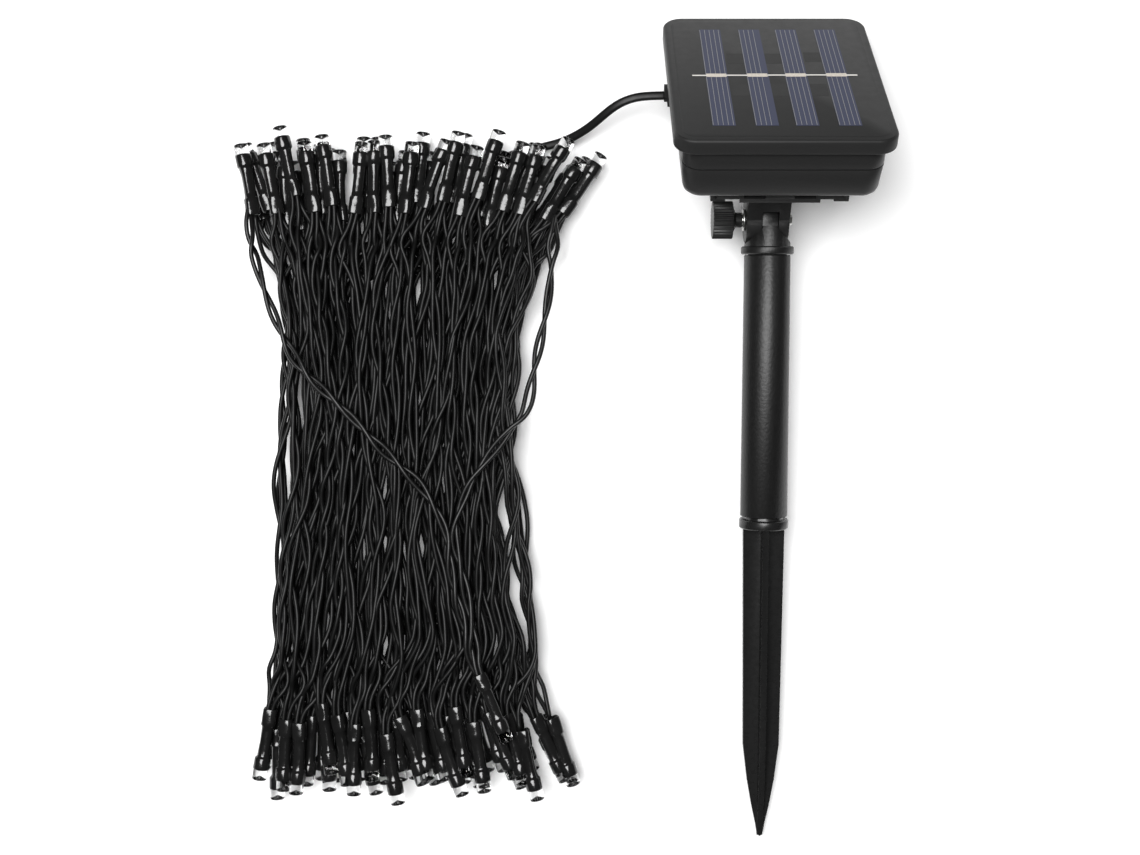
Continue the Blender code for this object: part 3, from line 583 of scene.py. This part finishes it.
def pairRings(path, angle, spread):
    # Two round wires wound about one path: each centre is the path plus spread along a turning direction
    tangent, side, up = frameAlong(path)
    ways = np.array((0.0, math.pi))[:, None, None]
    turn = angle[None, :, None] + ways
    outward = np.cos(turn) * side + np.sin(turn) * up
    centres = path + spread[None, :, None] * outward
    centres[..., 2] = np.maximum(centres[..., 2], string["wire"] + string["aboveFloor"])
    tangent, side, up = frameAlong(centres)
    ring = np.linspace(0.0, 2 * math.pi, string["sides"], endpoint=False)[None, None, :, None]
    around = np.cos(ring) * side[:, :, None] + np.sin(ring) * up[:, :, None]
    return centres[:, :, None] + string["wire"] * around


def headOfFirst(first):
    # From the splice the string runs under the hank to the first lamp
    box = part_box("lead_splice")
    x, z = (box[0].x + box[1].x) / 2, (box[0].z + box[1].z) / 2
    low = box[0].y + 0.004
    corners = ((x, low, z), (x, low - 0.010, z), (x - 0.004, low - 0.019, z), (x - 0.012, low - 0.023, z),
               (x - 0.020, low - 0.019, z), (x - 0.024, low - 0.009, z), (x - 0.027, low + 0.006, z),
               (x - 0.033, low + 0.028, z + 0.0008), (x - 0.046, low + 0.050, z + 0.0028),
               (x - 0.060, low + 0.066, z + 0.0036), first + np.array((0.0008, -0.010, -0.0004)), first)
    return evenly(flowing(corners), 0.0017)


def makeString(layer):
    parts = chainPath(layer, seatsOf[layer, 1], seatsOf[layer, -1])
    if layer == 0:
        parts = [headOfFirst(parts[0][0] + seatsOf[0, 1][1][0] * 0.003)[:-1]] + parts
    path = np.concatenate(parts)
    angle = pairAngles(parts)
    spread = pairSpread(parts)
    rings = pairRings(path, angle, spread)
    piece = addPiece(f"twistedString{layer + 1}", rings, skinned(rings), "wire", "housing", "wire_black",
                     ["string_hank"] if layer == 0 else [])
    return piece, path


lampShape = {
    "length": 0.029,
    "sides": 16,
    "bend": 0.00035,
    "crumple": 0.008,
    # where the sleeve is drawn in, from and to in millimetres, and how crumpled it is there
    "necks": ((19.0, 20.6, 0.045), (6.8, 7.8, 0.030)),
    # distance from the cut end, half width, half thickness and squareness, in millimetres
    "sleeve": (
        (0.9, 1.80, 1.60, 2.2), (0.1, 2.25, 2.00, 2.4), (0.0, 2.60, 2.15, 2.8), (0.4, 2.82, 2.24, 3.2),
        (2.6, 2.90, 2.30, 3.4), (5.2, 2.88, 2.38, 3.2), (6.9, 2.88, 2.54, 2.6), (7.3, 2.72, 2.50, 2.2),
        (7.6, 2.44, 2.30, 2.3), (9.5, 2.36, 2.22, 2.6), (13.5, 2.34, 2.20, 2.8), (17.0, 2.38, 2.24, 2.7),
        (19.4, 2.46, 2.30, 2.5), (20.1, 2.70, 2.50, 2.2), (20.5, 3.20, 3.00, 2.0), (20.9, 3.36, 3.20, 2.0),
        (24.8, 3.38, 3.24, 2.0), (25.4, 3.32, 3.20, 2.0), (25.5, 3.08, 3.06, 2.0), (24.35, 3.02, 3.02, 2.0),
    ),
    # distance from the cut end and radius
    "lens": ((24.5, 2.60), (24.6, 2.90), (25.4, 2.98), (29.3, 2.96), (29.70, 2.88), (29.85, 2.70),
             (29.6, 2.34), (29.1, 1.58), (28.5, 0.80), (28.05, 0.10)),
    "emitter": ((24.6, 0.60), (24.62, 0.95), (25.3, 0.95), (25.7, 0.60), (25.8, 0.10)),
}


def lampRings(seats, ways, profile, moulded):
    # A superellipse section carried along each lamp: |u|^n + |v|^n = 1 scaled by width and thickness
    profile = np.array(profile) * np.array((mm, mm, mm, 1.0))[:len(profile[0])]
    count = len(seats)
    up = np.array((0.0, 0.0, 1.0)) - ways * ways[:, 2:3]
    up /= np.linalg.norm(up, axis=1, keepdims=True)
    side = np.cross(up, ways)
    roll = dice.uniform(-0.5, 0.5, (count, 1))
    side, up = side * np.cos(roll) + up * np.sin(roll), up * np.cos(roll) - side * np.sin(roll)
    angle = np.linspace(0.0, 2 * math.pi, lampShape["sides"], endpoint=False)
    along = profile[:, 0]
    wide = profile[:, 1][None, :, None] * np.ones((count, 1, 1))
    if moulded:
        u = np.cos(angle)[None, None, :] * wide
        v = np.sin(angle)[None, None, :] * wide
    else:
        power = (2.0 / profile[:, 3])[None, :, None]
        thick = profile[:, 2][None, :, None] * np.ones((count, 1, 1))
        cosine, sine = np.cos(angle)[None, None, :], np.sin(angle)[None, None, :]
        u = np.sign(cosine) * np.abs(cosine) ** power * wide
        v = np.sign(sine) * np.abs(sine) ** power * thick
        crumple = np.full(len(along), lampShape["crumple"])
        for low, high, amount in lampShape["necks"]:
            crumple[(along > low * mm) & (along < high * mm)] = amount
        shake = 1.0 + dice.normal(0.0, 1.0, (count, len(along), len(angle))) * crumple[None, :, None]
        shake[:, :2] = 1.0
        shake[:, -4:] = 1.0
        flat = 1.0 + dice.uniform(-0.10, 0.06, (count, 1, 1)) * (along < 0.0072)[None, :, None]
        u, v = u * shake, v * shake * flat
    bend = np.zeros((count, 1)) if moulded else dice.normal(0.0, lampShape["bend"], (count, 1))
    reach = (along / lampShape["length"])[None, :]
    bow = bend * np.sin(math.pi * np.clip(reach, 0, 1))
    centre = seats[:, None, :] + ways[:, None, :] * along[None, :, None] + side[:, None, :] * bow[:, :, None]
    return centre[:, :, None] + u[..., None] * side[:, None, None] + v[..., None] * up[:, None, None]


def makeLamps(label, seats, ways, node):
    pieces = []
    for part, plural, finish, slot in (("sleeve", "lampSleeves", "sleeve", "lamp_sleeve"),
                                       ("emitter", "lampEmitters", "emitter", None),
                                       ("lens", "lampLenses", "clear", None)):
        rings = lampRings(seats, ways, lampShape[part], part != "sleeve")
        pieces.append(addPiece(plural + label, rings, skinned(rings), finish, "housing", slot,
                               [node] if part == "sleeve" else []))
    return pieces


seatsOf = {}
for layer in range(3):
    seatsOf[layer, 1] = lampSeats(layer, 1)
    seatsOf[layer, -1] = lampSeats(layer, -1)

for layer in range(3):
    for side, end in ((1, "top"), (-1, "bottom")):
        makeLamps(f"{end.title()}{layer + 1}", *seatsOf[layer, side],
                                            f"lamp_row_{end}_{layer + 1}")
crossSeat = np.array(((-0.1162, -0.0981, 0.0262),))
crossWay = np.array(((0.375, -0.927, -0.05),))
crossWay /= np.linalg.norm(crossWay)
makeLamps("Crossing", crossSeat, crossWay, "crossing_lamp")
print("lamps made:", sum(len(v[0]) for v in seatsOf.values()) + 1)

for layer in range(3):
    piece, path = makeString(layer)
    print(f"string {layer + 1}: {pathLength(path):.2f} m")


def makeCrossing():
    # The last strand lies over the hank: down to its lamp and back up to the right
    base = crossSeat[0]
    way = crossWay[0]
    square = np.array((way[1], -way[0], 0.0))
    enter = square * string["wire"]
    down = flowing(((-0.2105, 0.0920, 0.0195), (-0.2100, 0.0830, 0.0222), (-0.2070, 0.0693, 0.0245),
                    (-0.2017, 0.0531, 0.0255), (-0.1948, 0.0369, 0.0258), (-0.1868, 0.0240, 0.0258),
                    (-0.1701, 0.0078, 0.0258), (-0.1551, -0.0076, 0.0258), (-0.1395, -0.0230, 0.0258),
                    (-0.1300, -0.0400, 0.0260), (-0.1270, -0.0600, 0.0262), (-0.1222, -0.0790, 0.0262),
                    base - way * 0.006 + square * 0.0009, base + way * 0.002 + enter))
    back = flowing((base + way * 0.002 - enter, base - way * 0.006 - square * 0.0009,
                    (-0.1190, -0.0790, 0.0260), (-0.1226, -0.0600, 0.0256), (-0.1262, -0.0410, 0.0254),
                    (-0.1212, -0.0242, 0.0256), (-0.1146, -0.0133, 0.0256), (-0.1037, 0.0005, 0.0256),
                    (-0.0972, 0.0090, 0.0254), (-0.0936, 0.0264, 0.0252), (-0.0883, 0.0531, 0.0248),
                    (-0.0862, 0.0774, 0.0222), (-0.0858, 0.0880, 0.0200)))
    arc = halfCircle(base + enter, base - enter, way)
    parts = [evenly(down, 0.0017), arc, evenly(back, 0.0017)]
    path = np.concatenate(parts)
    rings = pairRings(path, pairAngles(parts), pairSpread(parts))
    # The crossing strand wears the painted-highlight copy of the wire insulation, glossier than the same
    # wire in the hank
    piece = addPiece("twistedStringCrossing", rings, skinned(rings), "wirePaintedHighlight", "housing", "wire_black")
    print(f"crossing strand: {pathLength(path):.2f} m")


makeCrossing()

lead = {
    "width": 0.0036,
    "thick": 0.0024,
    "turns": 4.35,
    "centre": (-0.1500, -0.0015),
    "reach": (0.0380, 0.0835),
    "step": 0.0037,  # how far each turn moves inward
    "level": 0.0018,
    "squareness": 3.4,
    "cutShort": 22,  # points left off the last turn, where the splice is
    "route": ((-0.0395, 0.1372, 0.0198), (-0.0413, 0.1372, 0.0198), (-0.0518, 0.1367, 0.0196),
              (-0.0591, 0.1344, 0.0183), (-0.0642, 0.1312, 0.0158), (-0.0699, 0.1270, 0.0120),
              (-0.0758, 0.1237, 0.0082), (-0.0833, 0.1209, 0.0046), (-0.0907, 0.1194, 0.0027),
              (-0.0983, 0.1176, 0.0019), (-0.1039, 0.1163, 0.0018), (-0.1110, 0.1125, 0.0018),
              (-0.1155, 0.1060, 0.0018), (-0.1175, 0.0980, 0.0018), (-0.1180, 0.0843, 0.0018),
              (-0.1165, 0.0620, 0.0018), (-0.1135, 0.0350, 0.0018)),
}


def makeLead():
    # Visible run, then flat oval turns that step inward by the lead's width, then the splice
    share = np.linspace(0.0, lead["turns"], int(lead["turns"] * 90))
    angle = -2 * math.pi * share
    wide = lead["reach"][0] - lead["step"] * share
    tall = lead["reach"][1] - lead["step"] * share
    power = 2 / lead["squareness"]
    x = lead["centre"][0] + np.sign(np.cos(angle)) * np.abs(np.cos(angle)) ** power * wide
    y = lead["centre"][1] + np.sign(np.sin(angle)) * np.abs(np.sin(angle)) ** power * tall
    oval = np.stack((x, y, np.full_like(x, lead["level"])), axis=1)
    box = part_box("lead_splice")
    spliceX = (box[0].x + box[1].x) / 2
    oval = oval[:-lead["cutShort"]]
    tail = flowing((oval[-1], (spliceX + 0.0030, 0.040, lead["level"]),
                    (spliceX + 0.0004, box[1].y + 0.004, lead["level"]),
                    (spliceX, box[1].y - 0.004, lead["level"])))
    path = np.concatenate((flowing(lead["route"]), oval[2:], tail[1:]))
    path = evenly(path, 0.0022)
    for _ in range(3):
        path[1:-1] = 0.25 * path[:-2] + 0.5 * path[1:-1] + 0.25 * path[2:]
    tangent, side, up = frameAlong(path)
    ring = np.linspace(0.0, 2 * math.pi, 14, endpoint=False)
    # Two round conductors side by side: the section is widest at its lobes and waisted at the middle
    u = lead["width"] / 2 * np.sign(np.cos(ring)) * np.abs(np.cos(ring)) ** 0.75
    v = lead["thick"] / 2 * np.sin(ring) * (1.0 - 0.20 * np.exp(-(u / (0.28 * lead["width"] / 2)) ** 2))
    rings = path[:, None] + u[None, :, None] * side[:, None] + v[None, :, None] * up[:, None]
    rings = rings[None]
    piece = addPiece("flatLead", rings, skinned(rings), "wire", "housing", "wire_black",
                     ["lead_cable", "lead_hank"])
    return piece, path


leadPiece, leadPath = makeLead()
print(f"lead: {pathLength(leadPath):.2f} m")


def refined(node, finish, width):
    # A copy of a node: triangles merged, flat areas joined, small rounds on its edges
    source = frame["nodes"][node]
    mesh = source.data.copy()
    work = bmesh.new()
    work.from_mesh(mesh)
    bmesh.ops.remove_doubles(work, verts=work.verts, dist=1e-6)
    bmesh.ops.dissolve_limit(work, angle_limit=math.radians(0.6), verts=work.verts, edges=work.edges)
    work.to_mesh(mesh)
    work.free()
    mesh.materials.clear()
    mesh.materials.append(finishes[finish].material)
    mesh.polygons.foreach_set("use_smooth", np.full(len(mesh.polygons), True))
    words = node.split("_")
    piece = bpy.data.objects.new(words[0] + "".join(word.title() for word in words[1:]) + "Body", mesh)
    bpy.context.scene.collection.objects.link(piece)
    rounds = piece.modifiers.new("rounds", "BEVEL")
    rounds.width = width
    rounds.segments = 2
    rounds.limit_method = "ANGLE"
    rounds.angle_limit = math.radians(28.0)
    rounds.use_clamp_overlap = True
    rounds.harden_normals = True
    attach(piece, body_of(source)[0])
    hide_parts(node)


for slot, finish, width, nodes in (
        ("face_grey", "lid", 0.0004, ["lid_frame"]),
        ("case_plastic", "case", 0.0004, ["upper_case", "lower_case"]),
        ("case_plastic", "case", 0.0003, ["bracket"]),
        ("case_plastic", "case", 0.00025, ["knob"]),
        ("stake_plastic", "stake", 0.0003, ["stake_head"]),
        ("spike_plastic", "spike", 0.00022, ["ground_spike"]),
        ("black_rubber", "rubber", 0.00025, ["cable_grommet"]),
        ("black_rubber", "rubber", 0.0003, ["power_button", "mode_button"]),
        ("zinc_steel", "zinc", 0.0002, ["hex_nut"]),
        ("zinc_steel", "zinc", 0.00015, ["clamp_bolt"]),
        ("zinc_steel", "zinc", 0.0001, ["clamp_washer"]),
        ("zinc_steel", "zinc", 0.00012, [f"case_screw_{number}" for number in range(1, 5)]),
        ("stake_plastic", "stake", 0.0003, ["extension_tube"]),
        ("battery_wrap", "battery", 0.0003, ["battery"]),
        ("lamp_sleeve", "sleeve", 0.0002, ["lead_splice"])):
    for node in nodes:
        refined(node, finish, width)
print("moulded parts refined")

face = {
    "inset": 0.0006,
    "corner": 0.0074,
    "proud": 0.00006,
    "fingers": (5, 4, 5, 5),
    "fingerStep": 0.00187,
    "fingerWide": 0.00019,
    "tabHigh": 0.0025,
    "ribbonHigh": 0.0010,
    "layer": 0.00005,
    "margin": 0.0026,
    "plateLip": 0.00018,
    "fieldLip": 0.00004,
    "sunk": 0.0002,
}


def slabs(boxes):
    # Closed boxes from (low, high) corners in the panel's directions
    corner = np.array([(i, j, k) for i in (0, 1) for j in (0, 1) for k in (0, 1)])
    low, high = np.array([b[0] for b in boxes])[:, None], np.array([b[1] for b in boxes])[:, None]
    points = onPanel(low + (high - low) * corner[None])
    sides = np.array(((0, 1, 3, 2), (4, 6, 7, 5), (0, 4, 5, 1), (2, 3, 7, 6), (0, 2, 6, 4), (1, 5, 7, 3)))
    faces = (sides[None] + 8 * np.arange(len(boxes))[:, None, None]).reshape(-1, 4)
    return points.reshape(-1, 3), faces.tolist()


def roundedPlate(low, high, corner, lip, steps=10):
    # A rounded rectangle's outline stepped up its side and in over its lip by a quarter circle
    turn = np.linspace(0.0, math.pi / 2, steps)
    quarter = np.stack((np.cos(turn), np.sin(turn)), axis=1)
    half = (np.array(high[:2]) - np.array(low[:2])) / 2
    middle = (np.array(high[:2]) + np.array(low[:2])) / 2
    outline = []
    for sign, swap in (((1, 1), 0), ((-1, 1), 1), ((-1, -1), 0), ((1, -1), 1)):
        arc = quarter[::-1] if swap else quarter
        outline.append(np.array(sign) * (half - corner) + np.array(sign) * arc * corner)
    outline = np.concatenate(outline)
    rise = np.linspace(0.0, math.pi / 2, 4)
    inward = np.concatenate(((0.0,), lip * (1 - np.cos(rise))))
    levels = np.concatenate(((low[2],), high[2] - lip + lip * np.sin(rise)))
    rings = []
    for back, level in zip(inward, levels):
        shrink = (half - back) / half
        flat = middle + outline * shrink
        rings.append(np.concatenate((flat, np.full((len(flat), 1), level)), axis=1))
    rings = onPanel(np.array(rings))[None]
    return rings, skinned(rings)


def makeFace():
    lidLow, lidHigh = panelBox("lid_frame")
    inset, layer = face["inset"], face["layer"]
    top = lidHigh[2] + face["proud"]
    low = (lidLow[0] + inset, lidLow[1] + inset, lidHigh[2] - 0.0010)
    high = (lidHigh[0] - inset, lidHigh[1] - inset, top)
    plate = roundedPlate(low, high, face["corner"], face["plateLip"])
    addPiece("facePlate", *plate, "backing", "housing", "face_grey", ["solar_backing", "solar_window"])
    margin = face["margin"]
    low = (low[0] + margin, low[1] + margin, top - 0.0004)
    high = (high[0] - margin, high[1] - margin, top + layer)
    field = roundedPlate(low, high, face["corner"] - margin, face["fieldLip"])
    addPiece("faceField", *field, "backing", "housing", "face_grey")
    top = top + layer
    strips = [panelBox(f"cell_strip_{number}") for number in range(1, 5)]
    for number, (low, high) in enumerate(strips, 1):
        points, faces = slabs([((low[0], low[1], top - face["sunk"]), (high[0], high[1], top + layer))])
        addPiece(f"cellStrip{number}", points, faces, "cell", "housing", "cell_blue",
                 [f"cell_strip_{number}"], smooth=False)
    lines = []
    for (low, high), count in zip(strips, face["fingers"]):
        for number in range(count):
            x = low[0] + 0.00015 + number * face["fingerStep"]
            lines.append(((x, low[1] + 0.0004, top),
                          (x + face["fingerWide"], high[1] - 0.0004, top + 1.6 * layer)))
    addPiece("cellFingers", *slabs(lines), "finger", "housing", "cell_blue", smooth=False)
    ribbonLow, ribbonHigh = panelBox("bus_ribbon")
    middle = (ribbonLow[1] + ribbonHigh[1]) / 2
    tall, thin = face["tabHigh"] / 2, face["ribbonHigh"] / 2
    tabs, links = [], []
    edge = ribbonLow[0]
    for number, (low, high) in enumerate(strips):
        tilt = 0.00012 * (number - 1.5)
        links.append(((edge, middle - thin + tilt, top),
                      (low[0] + 0.0006, middle + thin * 0.7 + tilt, top + 2 * layer)))
        tabs.append(((low[0] + 0.0003, middle - tall + tilt, top),
                     (high[0] - 0.0004, middle + tall + tilt, top + 3 * layer)))
        edge = high[0] - 0.0010
    links.append(((edge, middle - thin, top), (ribbonHigh[0], middle + thin, top + 2 * layer)))
    addPiece("solderTabs", *slabs(tabs), "solder", "housing", "tinned_copper", smooth=False)
    addPiece("busRibbonLinks", *slabs(links), "tinned", "housing", "tinned_copper", ["bus_ribbon"],
             smooth=False)
    first, _, third, fourth = strips
    under, over = top - face["sunk"], top + 0.4 * layer
    pads = [((first[1][0] + 0.0008, middle + 0.0095, under), (third[0][0], middle + 0.0180, over)),
            ((third[1][0] + 0.0006, middle + 0.0110, under), (fourth[0][0], middle + 0.0190, over)),
            ((first[1][0] + 0.0010, middle - 0.0165, under), (fourth[0][0] - 0.0006, middle - 0.0070, over))]
    addPiece("facePads", *slabs(pads), "pad", "housing", "face_grey", smooth=False)


makeFace()
print("solar face made")

for node, finish in (("lid_gasket", "rubber"), ("circuit_board", "board"),
                     ("controller_chip", "chip"), ("boost_inductor", "chip"), ("power_switch", "chip"),
                     ("mode_switch", "chip"), ("battery_contact_negative", "zinc"),
                     ("battery_contact_positive", "zinc")):
    kept = frame["nodes"][node]
    kept.data.materials.clear()
    kept.data.materials.append(finishes[finish].material)
print("finishes on:", ", ".join(sorted(finishes)))
